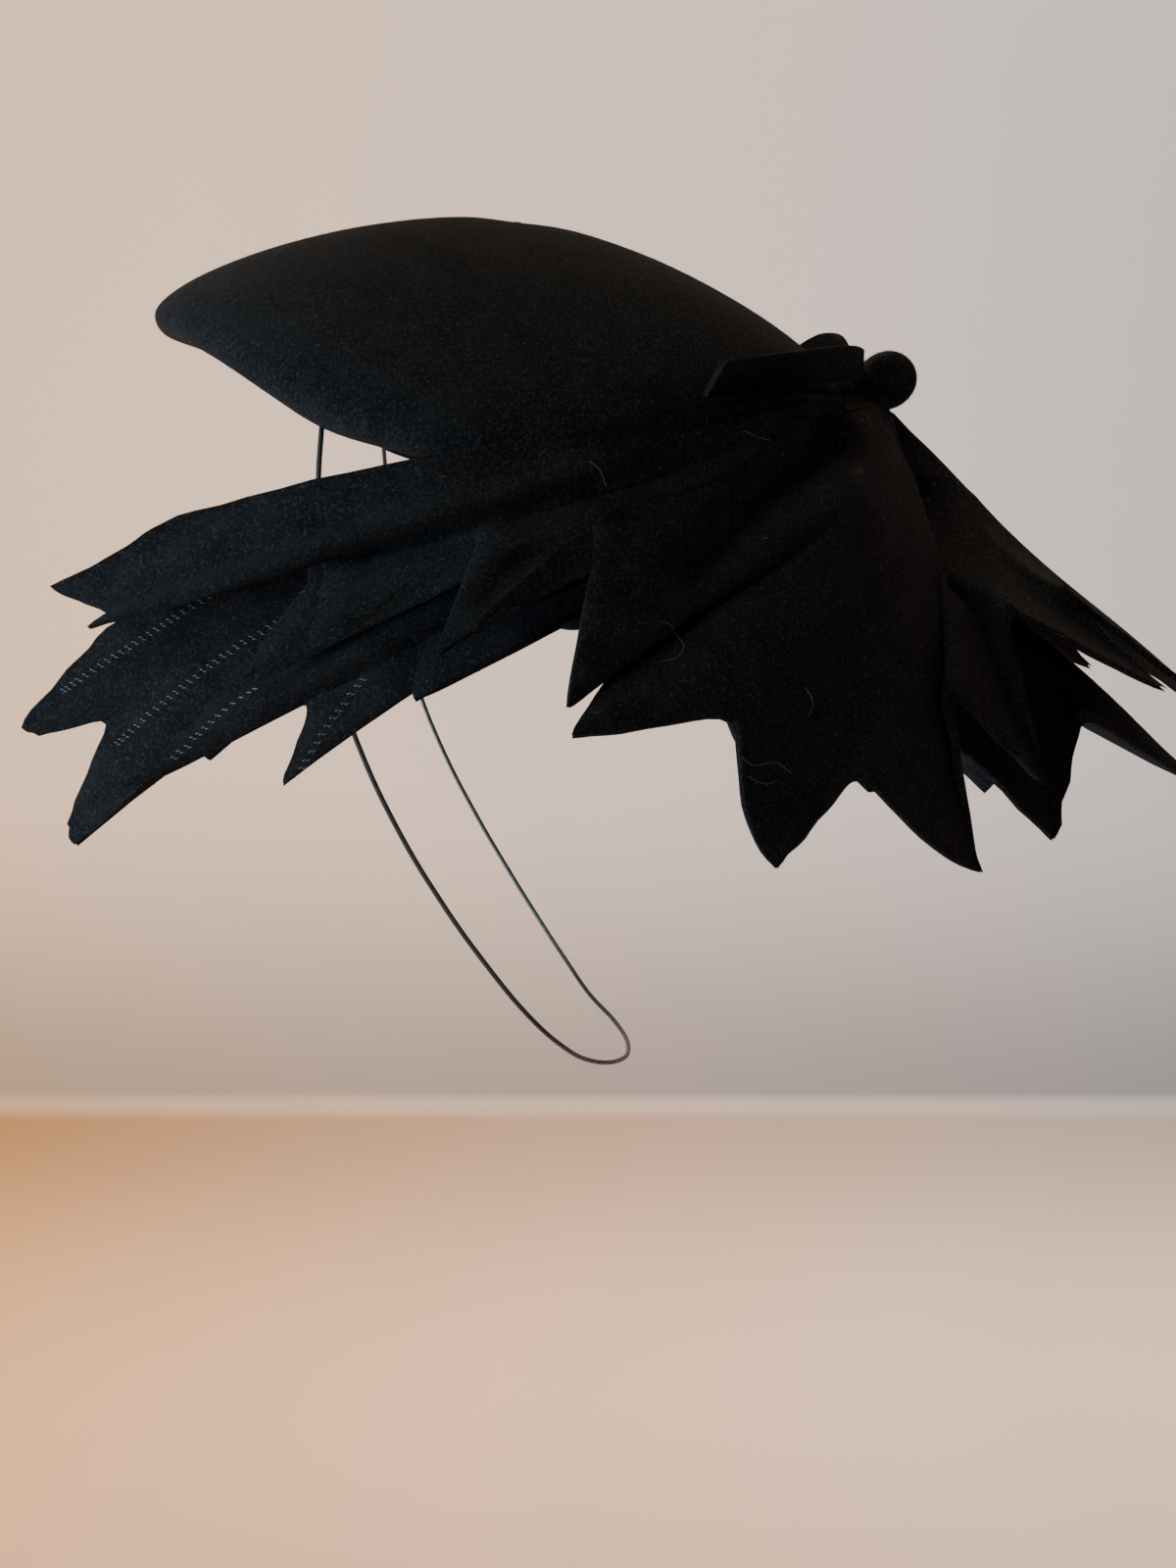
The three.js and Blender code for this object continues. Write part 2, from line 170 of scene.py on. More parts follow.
class HatSizes(bpy.types.PropertyGroup):
    felt: length_property("Brim felt", "Thickness of the brim's felt", 1.7)
    crown_felt: length_property("Crown felt", "Thickness of the crown's felt", 2.0)
    end_felt: length_property("Knot felt", "Thickness of the felt that the knot is tied of", 2.4)
    ripple: length_property("Ripple", "How far the hand-blocked felt strays from a smooth form", 0.25)
    nap_length: length_property("Nap length", "Length of a fibre of the nap", 0.9)
    nap_width: length_property("Nap width", "Width of a drawn fibre of the nap", 0.065)
    stitch_pitch: length_property("Stitch pitch", "Distance from one stitch of a tuck to the next", 1.8)
    stitch_length: length_property("Stitch length", "Length of one stitch of a tuck", 1.15)
    tuck_height: length_property("Tuck height", "How far a stitched tuck stands out of its leaf", 1.0)
    thread: length_property("Thread", "Thickness of the tucks' thread", 0.24)
    hair: length_property("Hair", "Thickness of a stray hair", 0.11)
    elastic: length_property("Elastic", "Diameter of the chin elastic", 1.2)


class HatColours(bpy.types.PropertyGroup):
    felt: colour_property("Felt", "Colour of the dyed wool felt", "#0d0d0d")
    # The nap's colour is lighter than the felt's as a painted glint: its fibres are the same dyed wool.
    nap: colour_property("Nap", "Colour of the felt's lying fibres", "#232527")
    sheen: colour_property("Sheen", "Colour of the light that the nap gives back at its edge", "#7f8b93")
    thread: colour_property("Thread", "Colour of the thread of the tucks", "#3d4342")
    lint: colour_property("Lint", "Colour of the stray light hairs", "#6f6b60")
    elastic: colour_property("Elastic", "Colour of the braided elastic", "#0c1512")
    wall_left: colour_property("Wall left", "Colour of the wall on the left", "#edc49b")
    wall_right: colour_property("Wall right", "Colour of the wall on the right", "#dad3d0")
    floor_left: colour_property("Floor left", "Colour of the floor on the left", "#8f6538")
    floor_right: colour_property("Floor right", "Colour of the floor on the right", "#93867f")


# Materials


def add_node(tree, kind, settings=None, links=None):
    """Adds a node, sets its attributes and input values, and links its inputs from other nodes' outputs."""
    node = tree.nodes.new(kind)
    for key, value in (settings or {}).items():
        if isinstance(key, str) and hasattr(node, key):
            setattr(node, key, value)
        else:
            node.inputs[key].default_value = value
    for key, source in (links or {}).items():
        tree.links.new(source, node.inputs[key])
    return node


def new_material(name):
    material = bpy.data.materials.new(name)
    material.use_nodes = True
    material.node_tree.nodes.clear()
    return material, material.node_tree


def finish_material(tree, shader):
    add_node(tree, "ShaderNodeOutputMaterial", links={"Surface": shader.outputs[0]})


def per_metre(millimetres):
    """The scale of a pattern whose features are that many millimetres wide."""
    return 1 / (millimetres * MM)


def felt_material(colours):
    """Wool felt for hats: fulled wool, dyed black and brushed. It is matt and swallows nearly all light. Its
    matted fibres give a faint bloom. Short curled lines painted lighter all over it are a painted glint, for
    the light that single fibres catch where it rakes them."""
    material, tree = new_material("Brushed wool felt")
    place = add_node(tree, "ShaderNodeTexCoord").outputs["Object"]
    # Fulling leaves soft lighter and darker clouds about 9 mm across.
    clouds = add_node(
        tree,
        "ShaderNodeTexNoise",
        {"Scale": per_metre(9), "Detail": 4, "Roughness": 0.6},
        {"Vector": place},
    )
    # The matted ground, with a grain of about 0.6 mm.
    ground = add_node(
        tree,
        "ShaderNodeTexNoise",
        {"Scale": per_metre(0.6), "Detail": 5, "Roughness": 0.75, "Distortion": 1.2},
        {"Vector": place},
    )
    # Single curled fibres. Real ones are 0.03 mm thick, and these are drawn about 0.05 to 0.1 mm thick so
    # that they show. Each is a stretch of the line where a noise passes its middle value.
    lines = []
    for width, shift in ((0.45, 0), (0.8, 7)):
        moved = add_node(tree, "ShaderNodeMapping", {"Location": (shift, shift, 0)}, {"Vector": place})
        bends = add_node(
            tree,
            "ShaderNodeTexNoise",
            {"Scale": per_metre(width), "Detail": 1.5},
            {"Vector": moved.outputs[0]},
        )
        off = add_node(tree, "ShaderNodeMath", {"operation": "SUBTRACT", 1: 0.5}, {0: bends.outputs["Fac"]})
        near = add_node(tree, "ShaderNodeMath", {"operation": "ABSOLUTE"}, {0: off.outputs[0]})
        line = add_node(tree, "ShaderNodeMapRange", {"From Min": 0.04, "From Max": 0}, {0: near.outputs[0]})
        lines.append(line.outputs[0])
    crossed = add_node(tree, "ShaderNodeMath", {"operation": "MAXIMUM"}, {0: lines[0], 1: lines[1]})
    # They come and go over about 0.8 mm.
    patches = add_node(
        tree, "ShaderNodeTexNoise", {"Scale": per_metre(0.8), "Detail": 3}, {"Vector": place}
    )
    broken = add_node(
        tree, "ShaderNodeMapRange", {"From Min": 0.46, "From Max": 0.7}, {0: patches.outputs["Fac"]}
    )
    fibres = add_node(
        tree, "ShaderNodeMath", {"operation": "MULTIPLY"}, {0: crossed.outputs[0], 1: broken.outputs[0]}
    )
    mixed = add_node(
        tree,
        "ShaderNodeMath",
        {"operation": "MULTIPLY_ADD", 1: 0.5},
        {0: clouds.outputs["Fac"], 2: ground.outputs["Fac"]},
    )
    base = add_node(tree, "ShaderNodeValToRGB", links={"Fac": mixed.outputs[0]})
    base.color_ramp.elements[0].position = 0.62
    base.color_ramp.elements[0].color = (*[c * 0.2 for c in colours.felt], 1)
    base.color_ramp.elements[1].position = 0.92
    base.color_ramp.elements[1].color = (*[c * 2.2 for c in colours.felt], 1)
    # Painted glint: the fibre lines take three times the nap's colour, lighter than the dyed felt.
    colour = add_node(
        tree,
        "ShaderNodeMix",
        {"data_type": "RGBA", 7: (*[c * 3.0 for c in colours.nap], 1)},
        {0: fibres.outputs[0], 6: base.outputs["Color"]},
    )
    height = add_node(
        tree,
        "ShaderNodeMath",
        {"operation": "MULTIPLY_ADD", 1: 0.6},
        {0: fibres.outputs[0], 2: ground.outputs["Fac"]},
    )
    bump = add_node(
        tree, "ShaderNodeBump", {"Strength": 0.9, "Distance": 0.4 * MM}, {"Height": height.outputs[0]}
    )
    shader = add_node(
        tree,
        "ShaderNodeBsdfPrincipled",
        {
            "Roughness": 0.95,
            "Specular IOR Level": 0.12,
            "Sheen Weight": 0.03,
            "Sheen Roughness": 0.4,
            "Sheen Tint": (*colours.sheen, 1),
        },
        {"Base Color": colour.outputs[2], "Normal": bump.outputs["Normal"]},
    )
    finish_material(tree, shader)
    return material


def nap_material(colours):
    """The nap of the same felt: single wool fibres, smoother than the felt, which catch more light. Their
    colour is painted lighter than the felt's, as a painted glint.
    """
    material, tree = new_material("Wool nap")
    place = add_node(tree, "ShaderNodeTexCoord").outputs["Object"]
    # Fibres differ from place to place, over about 3 mm.
    drift = add_node(tree, "ShaderNodeTexNoise", {"Scale": per_metre(3), "Detail": 3}, {"Vector": place})
    # Painted glint: the ramp runs up to three times the nap's colour, lighter than the felt.
    ramp = add_node(tree, "ShaderNodeValToRGB", links={"Fac": drift.outputs["Fac"]})
    ramp.color_ramp.elements[0].position = 0.38
    ramp.color_ramp.elements[0].color = (*[c * 0.4 for c in colours.nap], 1)
    ramp.color_ramp.elements[1].position = 0.72
    ramp.color_ramp.elements[1].color = (*[c * 3.0 for c in colours.nap], 1)
    shader = add_node(
        tree,
        "ShaderNodeBsdfPrincipled",
        {"Roughness": 0.6, "Specular IOR Level": 0.3},
        {"Base Color": ramp.outputs["Color"]},
    )
    finish_material(tree, shader)
    return material


def thread_material(colours):
    """Cotton sewing thread: two plies twisted, with a soft shine across the twist."""
    material, tree = new_material("Cotton sewing thread")
    place = add_node(tree, "ShaderNodeTexCoord").outputs["Object"]
    # The plies cross the thread every 0.5 mm.
    plies = add_node(
        tree,
        "ShaderNodeTexWave",
        {"bands_direction": "DIAGONAL", "Scale": per_metre(0.5) / math.tau, "Distortion": 0.5},
        {"Vector": place},
    )
    ramp = add_node(tree, "ShaderNodeValToRGB", links={"Fac": plies.outputs["Fac"]})
    ramp.color_ramp.elements[0].color = (*[c * 0.45 for c in colours.thread], 1)
    ramp.color_ramp.elements[1].color = (*colours.thread, 1)
    shader = add_node(
        tree,
        "ShaderNodeBsdfPrincipled",
        {"Roughness": 0.65, "Sheen Weight": 0.3},
        {"Base Color": ramp.outputs["Color"]},
    )
    finish_material(tree, shader)
    return material


def lint_material(colours):
    """Stray hairs and lint: pale undyed fibres, a little glossy."""
    material, tree = new_material("Undyed hair")
    place = add_node(tree, "ShaderNodeTexCoord").outputs["Object"]
    drift = add_node(tree, "ShaderNodeTexNoise", {"Scale": per_metre(6)}, {"Vector": place})
    ramp = add_node(tree, "ShaderNodeValToRGB", links={"Fac": drift.outputs["Fac"]})
    ramp.color_ramp.elements[0].color = (*[c * 0.35 for c in colours.lint], 1)
    ramp.color_ramp.elements[1].color = (*colours.lint, 1)
    shader = add_node(
        tree, "ShaderNodeBsdfPrincipled", {"Roughness": 0.45}, {"Base Color": ramp.outputs["Color"]}
    )
    finish_material(tree, shader)
    return material


def elastic_material(colours):
    """Round hat elastic: a rubber core in a braid of rayon, with a fine herringbone and a soft gleam."""
    material, tree = new_material("Braided hat elastic")
    along = add_node(tree, "ShaderNodeTexCoord").outputs["UV"]
    # The braid's yarns cross every 0.7 mm along the cord, and eight of them go round it.
    turned = add_node(tree, "ShaderNodeMapping", {"Scale": (600, 8, 1)}, {"Vector": along})
    yarns = add_node(
        tree,
        "ShaderNodeTexWave",
        {"bands_direction": "DIAGONAL", "Scale": 0.16},
        {"Vector": turned.outputs[0]},
    )
    ramp = add_node(tree, "ShaderNodeValToRGB", links={"Fac": yarns.outputs["Fac"]})
    ramp.color_ramp.elements[0].color = (*[c * 0.4 for c in colours.elastic], 1)
    ramp.color_ramp.elements[1].color = (*colours.elastic, 1)
    bump = add_node(
        tree, "ShaderNodeBump", {"Strength": 0.6, "Distance": 0.1 * MM}, {"Height": yarns.outputs["Fac"]}
    )
    shader = add_node(
        tree,
        "ShaderNodeBsdfPrincipled",
        {"Roughness": 0.5, "Sheen Weight": 0.1},
        {"Base Color": ramp.outputs["Color"], "Normal": bump.outputs["Normal"]},
    )
    finish_material(tree, shader)
    return material


def painted_material(colours):
    """Matt emulsion on a curved backdrop: even, with a slow drift of tone from its left to its right.
    Painted shade darkens it where the floor turns up into the wall, and painted light pales it towards the
    camera and up the wall."""
    material, tree = new_material("Matt painted backdrop")
    place = add_node(tree, "ShaderNodeTexCoord").outputs["Object"]
    ways = add_node(tree, "ShaderNodeSeparateXYZ", links={0: place})
    share = add_node(
        tree,
        "ShaderNodeMapRange",
        {"From Min": VIEW_HALF_WIDTH, "From Max": -VIEW_HALF_WIDTH},
        {"Value": ways.outputs["Y"]},
    )
    sides = []
    for left, right in ((colours.wall_left, colours.wall_right), (colours.floor_left, colours.floor_right)):
        mixed = add_node(
            tree,
            "ShaderNodeMix",
            {"data_type": "RGBA", 6: (*left, 1), 7: (*right, 1)},
            {0: share.outputs[0]},
        )
        sides.append(mixed.outputs[2])
    rise = add_node(
        tree,
        "ShaderNodeMapRange",
        {"From Min": FLOOR_Z, "From Max": FLOOR_Z + TURN_WIDTH},
        {"Value": ways.outputs["Z"]},
    )
    turned = add_node(
        tree, "ShaderNodeMix", {"data_type": "RGBA"}, {0: rise.outputs[0], 6: sides[1], 7: sides[0]}
    )
    # Painted shade: the colour is darkest at the turn, where shade falls, and painted light pales it towards
    # the camera and up the wall.
    smooth = {"interpolation_type": "SMOOTHSTEP"}
    painted_light_forward = add_node(
        tree,
        "ShaderNodeMapRange",
        {**smooth, "From Min": WALL_X, "From Max": 0, "To Min": 0.5, "To Max": 1.9},
        {"Value": ways.outputs["X"]},
    )
    painted_light_upward = add_node(
        tree,
        "ShaderNodeMapRange",
        {**smooth, "From Min": FLOOR_Z, "From Max": -0.2, "To Min": 0, "To Max": 0.5},
        {"Value": ways.outputs["Z"]},
    )
    both = add_node(
        tree, "ShaderNodeMath", {"operation": "ADD"}, {0: painted_light_forward.outputs[0], 1: painted_light_upward.outputs[0]}
    )
    # Painted shade and painted light: the backdrop's colour scaled by both factors.
    painted_shading = add_node(
        tree,
        "ShaderNodeVectorMath",
        {"operation": "SCALE"},
        {0: turned.outputs[2], "Scale": both.outputs[0]},
    )
    shader = add_node(
        tree,
        "ShaderNodeBsdfPrincipled",
        {"Roughness": 0.9, "Specular IOR Level": 0.2},
        {"Base Color": painted_shading.outputs[0]},
    )
    finish_material(tree, shader)
    return material


def material_of(name, make, colours):
    """A material that several pieces share is made once."""
    return bpy.data.materials.get(name) or make(colours)


# Meshes


def make_active(piece):
    bpy.ops.object.select_all(action="DESELECT")
    piece.select_set(True)
    bpy.context.view_layer.objects.active = piece


def merged_copy(node, name):
    """A copy of a CAD node whose loose triangles are joined into one skin."""
    piece = bpy.data.objects.new(name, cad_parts[node].data.copy())
    bpy.context.scene.collection.objects.link(piece)
    piece.data.materials.clear()
    make_active(piece)
    if piece.data.has_custom_normals:
        bpy.ops.mesh.customdata_custom_splitnormals_clear()
    bpy.ops.object.mode_set(mode="EDIT")
    bpy.ops.mesh.select_all(action="SELECT")
    bpy.ops.mesh.remove_doubles(threshold=0.002 * MM)
    bpy.ops.object.mode_set(mode="OBJECT")
    return piece


def merged_mesh(node):
    """The mesh alone of such a copy."""
    piece = merged_copy(node, node + "_merged")
    data = piece.data
    bpy.data.objects.remove(piece)
    return data


def bridges_of(mesh, thickness):
    """The edges of the cut that lead straight through the wall, which are exactly as long as the felt is
    thick."""
    tolerance = 0.0003 * thickness
    return {edge for edge in mesh.edges if abs(edge.calc_length() - thickness) < tolerance}


def grid_diagonals(mesh, rim):
    """The diagonals of a triangulated grid. Each triangle has one corner between its two straight edges.
    Across a straight edge the next triangle's corner is at the edge's other end, and across a diagonal it
    lies opposite."""
    many = 9
    corners = {}

    def usable(face):
        return face not in rim and all(len(v.link_edges) < many for v in face.verts)

    def squareness(face):
        angles = sorted(loop.calc_angle() for loop in face.loops)
        return abs(angles[2] - math.pi / 2) + abs(angles[1] - angles[0])

    waiting = sorted((f for f in mesh.faces if usable(f)), key=squareness)
    for seed in waiting:
        if seed in corners:
            continue
        corners[seed] = max(seed.loops, key=lambda loop: loop.calc_angle()).vert
        front = [seed]
        while front:
            face = front.pop()
            corner = corners[face]
            for edge in face.edges:
                for other in edge.link_faces:
                    if other in corners or not usable(other):
                        continue
                    if corner in edge.verts:
                        corners[other] = edge.other_vert(corner)
                    else:
                        corners[other] = next(v for v in other.verts if v not in edge.verts)
                    front.append(other)
    return {edge for face, corner in corners.items() for edge in face.edges if corner not in edge.verts}


def quads_and_creases(piece, thickness, tip_angle, pinch=0.0):
    """Joins the triangles of a felt wall into the quads of its grid, and creases its cut edge so that it
    stays crisp when subdivided, and sharp in the notches. The tips stay a little rounded, and pinch is the
    share by which they are thinner."""
    mesh = bmesh.new()
    mesh.from_mesh(piece.data)
    crease = mesh.edges.layers.float.new("crease_edge")
    corner = mesh.verts.layers.float.new("crease_vert")
    bridges = bridges_of(mesh, thickness)
    rim = {face for edge in bridges for face in edge.link_faces}
    diagonals = grid_diagonals(mesh, rim)
    for edge in mesh.edges:
        if edge in bridges or len(edge.link_faces) != 2:
            continue
        if all(face in rim for face in edge.link_faces):
            diagonals.add(edge)
    outline = {e for face in rim for e in face.edges if any(other not in rim for other in e.link_faces)}
    for edge in outline:
        edge[crease] = 0.6
    tips = []
    for vert in mesh.verts:
        ways = [e.other_vert(vert).co - vert.co for e in vert.link_edges if e in outline]
        if len(ways) == 2 and math.pi - ways[0].angle(ways[1]) > tip_angle:
            vert[corner] = 1
            if all(way.dot(vert.co - GATHER) < 0 for way in ways):
                vert[corner] = 0.55
                tips.append(vert)
    moves = []
    for vert in tips:
        for edge in vert.link_edges:
            if edge in bridges and edge.other_vert(vert) in tips:
                moves.append((vert, (edge.other_vert(vert).co - vert.co) * pinch / 2))
    for vert, move in moves:
        vert.co += move
    # In a fixed order, so that the faces, and with them the nap, come out the same each time.
    ordered = sorted(diagonals, key=lambda edge: edge.index)
    bmesh.ops.dissolve_edges(mesh, edges=ordered, use_verts=False, use_face_split=False)
    mesh.to_mesh(piece.data)
    mesh.free()


def ease_facets(piece, repeats):
    """Smooths the quads between the cut edges, which stay where they are."""
    mesh = bmesh.new()
    mesh.from_mesh(piece.data)
    crease = mesh.edges.layers.float["crease_edge"]
    outline = {v.index for e in mesh.edges if e[crease] > 0 for v in e.verts}
    inside = [v.index for v in mesh.verts if v.index not in outline]
    mesh.free()
    group = piece.vertex_groups.new(name="inside")
    group.add(inside, 1, "REPLACE")
    make_active(piece)
    ease = piece.modifiers.new("Eased facets", "SMOOTH")
    ease.vertex_group = group.name
    ease.factor = 0.5
    ease.iterations = repeats
    bpy.ops.object.modifier_apply(modifier=ease.name)
    piece.vertex_groups.clear()


def subdivide(piece, levels):
    make_active(piece)
    smooth = piece.modifiers.new("Smooth felt", "SUBSURF")
    smooth.levels = levels
    smooth.render_levels = levels
    bpy.ops.object.modifier_apply(modifier=smooth.name)


def ripple(piece, height, seed):
    """Moves the felt by slow noise, the same way on both of its faces."""
    slow = per_metre(28)
    shift = Vector((seed, 2 * seed, 3 * seed))
    for vert in piece.data.vertices:
        vert.co += noise.noise_vector(vert.co * slow + shift) * height


def felt_piece(node, name, thickness, levels, height, seed, ease=0):
    """A soft copy of a felt solid that stands for it."""
    colours = bpy.context.scene.hat_colours
    piece = merged_copy(node, name)
    quads_and_creases(piece, thickness, math.radians(35), pinch=0.4 if ease else 0)
    if ease:
        ease_facets(piece, ease)
    subdivide(piece, levels)
    ripple(piece, height, seed)
    make_active(piece)
    bpy.ops.object.shade_smooth_by_angle(angle=math.radians(50))
    piece.data.materials.append(material_of("Brushed wool felt", felt_material, colours))
    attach(piece, "root")
    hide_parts(node)
    return piece


def mesh_piece(name, points, faces, material, slot):
    """A new piece from arrays of points and faces."""
    data = bpy.data.meshes.new(name)
    data.from_pydata(points, [], faces)
    data.validate()
    piece = bpy.data.objects.new(name, data)
    bpy.context.scene.collection.objects.link(piece)
    data.materials.append(material)
    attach(piece, "root")
    return piece


def nap_on(piece, name, count, seed, combed_from, lying):
    """Fibres of the nap: thin spikes with three sides that stand on the felt and lie away from combed_from.
    Real fibres are about half as thick and many times as many."""
    sizes = bpy.context.scene.hat_sizes
    colours = bpy.context.scene.hat_colours
    draw = np.random.default_rng(seed)
    data = piece.data
    data.calc_loop_triangles()
    corners = np.array([v.co for v in data.vertices])
    triangles = np.array([t.vertices for t in data.loop_triangles])
    a, b, c = (corners[triangles[:, k]] for k in range(3))
    across = np.cross(b - a, c - a)
    area = np.linalg.norm(across, axis=1)
    normals = across / np.maximum(area, 1e-20)[:, None]
    picked = draw.choice(len(triangles), count, p=area / area.sum())
    u, v = draw.random(count), draw.random(count)
    folded = u + v > 1
    u[folded], v[folded] = 1 - u[folded], 1 - v[folded]
    root = a[picked] + (b - a)[picked] * u[:, None] + (c - a)[picked] * v[:, None]
    normal = normals[picked]
    comb = root - np.array(combed_from)
    comb += draw.normal(0, 0.5, (count, 3)) * np.linalg.norm(comb, axis=1)[:, None]
    comb -= normal * (comb * normal).sum(1)[:, None]
    comb /= np.linalg.norm(comb, axis=1)[:, None]
    rise = np.abs(draw.normal(0, 1 - lying, count))[:, None]
    way = comb + normal * rise
    way /= np.linalg.norm(way, axis=1)[:, None]
    reach = sizes.nap_length * (0.4 + 1.1 * draw.random(count) ** 2)[:, None]
    side = np.cross(way, normal + 0.01)
    side /= np.linalg.norm(side, axis=1)[:, None]
    other = np.cross(way, side)
    thirds = (0, 2.094, 4.189)
    base = [root + (side * math.cos(t) + other * math.sin(t)) * sizes.nap_width / 2 for t in thirds]
    base = [ring - normal * 0.05 * MM for ring in base]
    points = np.stack([*base, root + way * reach], axis=1).reshape(-1, 3)
    first = np.arange(count)[:, None] * 4
    pattern = np.array([[0, 1, 3], [1, 2, 3], [2, 0, 3], [2, 1, 0]])
    faces = (first[:, :, None] + pattern[None]).reshape(-1, 3)
    material = material_of("Wool nap", nap_material, colours)
    return mesh_piece(name, points.tolist(), faces.tolist(), material, "wool_felt")


# Where a pixel of the photograph lies on a piece


def pixel_ray(pixel):
    """The direction in which the camera sees a pixel of the photograph."""
    focal = CAMERA_LENS / SENSOR * PHOTO_HEIGHT
    right = (pixel[0] - PHOTO_WIDTH / 2) / focal
    up = (PHOTO_HEIGHT / 2 - pixel[1]) / focal
    ahead = Vector((math.cos(CAMERA_PITCH), 0, -math.sin(CAMERA_PITCH)))
    above = Vector((math.sin(CAMERA_PITCH), 0, math.cos(CAMERA_PITCH)))
    return (ahead + Vector((0, -1, 0)) * right + above * up).normalized()


def tree_of(piece):
    mesh = bmesh.new()
    mesh.from_mesh(piece.data)
    tree = BVHTree.FromBMesh(mesh)
    mesh.free()
    return tree


def route_on(tree, pixels, steps):
    """The points of a piece that lie under a line of pixels, evenly spaced."""
    corners = []
    for pixel in pixels:
        place = tree.ray_cast(CAMERA_PLACE, pixel_ray(pixel))[0]
        if place is not None:
            corners.append(place)
    lengths = [0]
    for a, b in zip(corners, corners[1:]):
        lengths.append(lengths[-1] + (b - a).length)
    route = []
    for k in range(steps + 1):
        along = lengths[-1] * k / steps
        i = max(j for j in range(len(corners) - 1) if lengths[j] <= along)
        share = (along - lengths[i]) / (lengths[i + 1] - lengths[i])
        before = corners[max(i - 1, 0)]
        after = corners[min(i + 2, len(corners) - 1)]
        leave = (corners[i + 1] - before) / 2
        arrive = (after - corners[i]) / 2
        route.append(curved(corners[i], corners[i + 1], leave, arrive, share))
    return route


def curved(start, end, leave, arrive, share):
    """A point of the smooth curve from start to end."""
    s2, s3 = share * share, share**3
    return (
        start * (2 * s3 - 3 * s2 + 1)
        + leave * (s3 - 2 * s2 + share)
        + end * (3 * s2 - 2 * s3)
        + arrive * (s3 - s2)
    )


def raise_along(pieces, routes):
    """Raises or sinks the felt along routes. Each is (points, height, half width): the felt stands out at
    the middle and draws in a little on both sides, or the other way round. The height fades to nothing at
    both ends. Both wings are folded alike."""
    for piece in pieces:
        count = len(piece.data.vertices)
        flat = np.empty(count * 3)
        piece.data.vertices.foreach_get("co", flat)
        points = flat.reshape(-1, 3)
        sides = np.where(points[:, 0] > 0, 1.0, -1.0)
        seen = points.copy()
        seen[:, 0] *= -sides
        move = np.zeros(count)
        for route, height, half_width in routes:
            line = np.array(route)
            starts, steps = line[:-1], line[1:] - line[:-1]
            best = np.full(count, np.inf)
            at = np.zeros(count)
            for k, (start, step) in enumerate(zip(starts, steps)):
                share = np.clip(((seen - start) @ step) / (step @ step), 0, 1)
                away = np.linalg.norm(seen - start - share[:, None] * step, axis=1)
                nearer = away < best
                best[nearer] = away[nearer]
                at[nearer] = (k + share[nearer]) / len(steps)
            wide = best / (half_width * MM)
            fade = np.clip(np.minimum(at * 6, (1 - at) * 4), 0, 1)
            fade = fade * fade * (3 - 2 * fade)
            move += height * MM * fade * (1 - 0.6 * wide**2) * np.exp(-0.5 * wide**2)
        way = points - np.array(INSIDE)
        way /= np.linalg.norm(way, axis=1)[:, None]
        points += way * move[:, None]
        piece.data.vertices.foreach_set("co", points.ravel())
        piece.data.update()


def cut_edge_points(node, thickness):
    """Points along the cut edge of a felt solid."""
    mesh = bmesh.new()
    mesh.from_mesh(merged_mesh(node))
    cut = {vert.index for edge in bridges_of(mesh, thickness) for vert in edge.verts}
    around = [vert.co.copy() for vert in mesh.verts if vert.index in cut]
    mesh.free()
    return around


def curl_edges(piece, around, height, reach, seed):
    """Curls the felt near its cut edge outwards, or inwards where the height is negative, here more and
    there less, as cut felt does when it is handled. Height and reach are in millimetres."""
    finder = KDTree(len(around))
    for k, place in enumerate(around):
        finder.insert(place, k)
    finder.balance()
    slow = per_metre(17)
    shift = Vector((seed, seed, seed))
    for vert in piece.data.vertices:
        away = finder.find(vert.co)[2] / (reach * MM)
        if away < 3:
            mirrored = Vector((abs(vert.co.x), vert.co.y, vert.co.z))
            share = 0.65 + 0.7 * noise.noise(mirrored * slow + shift)
            vert.co += (vert.co - INSIDE).normalized() * height * MM * share * math.exp(-away * away)


def tube(route, radius, sides=4):
    """Points and faces of a thin closed tube along a route, tapered at both ends."""
    points, faces = [], []
    last = len(route) - 1
    for k, place in enumerate(route):
        along = (route[min(k + 1, last)] - route[max(k - 1, 0)]).normalized()
        across = along.orthogonal().normalized()
        up = along.cross(across)
        thin = radius * (0.35 if k in (0, last) else 1)
        for n in range(sides):
            turn = math.tau * n / sides
            points.append(place + (across * math.cos(turn) + up * math.sin(turn)) * thin)
    for k in range(last):
        for n in range(sides):
            m = (n + 1) % sides
            faces.append((k * sides + n, k * sides + m, (k + 1) * sides + m, (k + 1) * sides + n))
    faces.append(tuple(reversed(range(sides))))
    faces.append(tuple(last * sides + n for n in range(sides)))
    return points, faces


def joined(parts):
    """One list of points and one of faces from several such pairs."""
    points, faces = [], []
    for more, their in parts:
        first = len(points)
        points.extend(more)
        faces.extend(tuple(first + i for i in face) for face in their)
    return points, faces


def both_sides(route):
    return route, [Vector((-p.x, p.y, p.z)) for p in route]


def fold_routes():
    """The folds of the leaves, laid on the upper layer's solid."""
    tree = tree_of(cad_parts["brim_upper_leaves"])
    return [(route_on(tree, pixels, 24), height, half_width) for pixels, height, half_width in FOLDS]


def draw_to_loop(piece):
    """Draws the gathered felt up against the underside of the knot's loop."""
    low, high = (Vector(corner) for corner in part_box("knot_wrap"))
    radius = (high.z - low.z) / 2
    centre = (low + high) / 2
    near = 4 * MM
    for vert in piece.data.vertices:
        to_axis = Vector((0, centre.y - vert.co.y, centre.z - vert.co.z))
        gap = to_axis.length - radius
        past_end = max(abs(vert.co.x) - (high.x - low.x) / 2, 0)
        if gap > 0:
            pull = 0.85 * math.exp(-((gap / near) ** 2) - (past_end / near) ** 2)
            vert.co += to_axis.normalized() * gap * pull


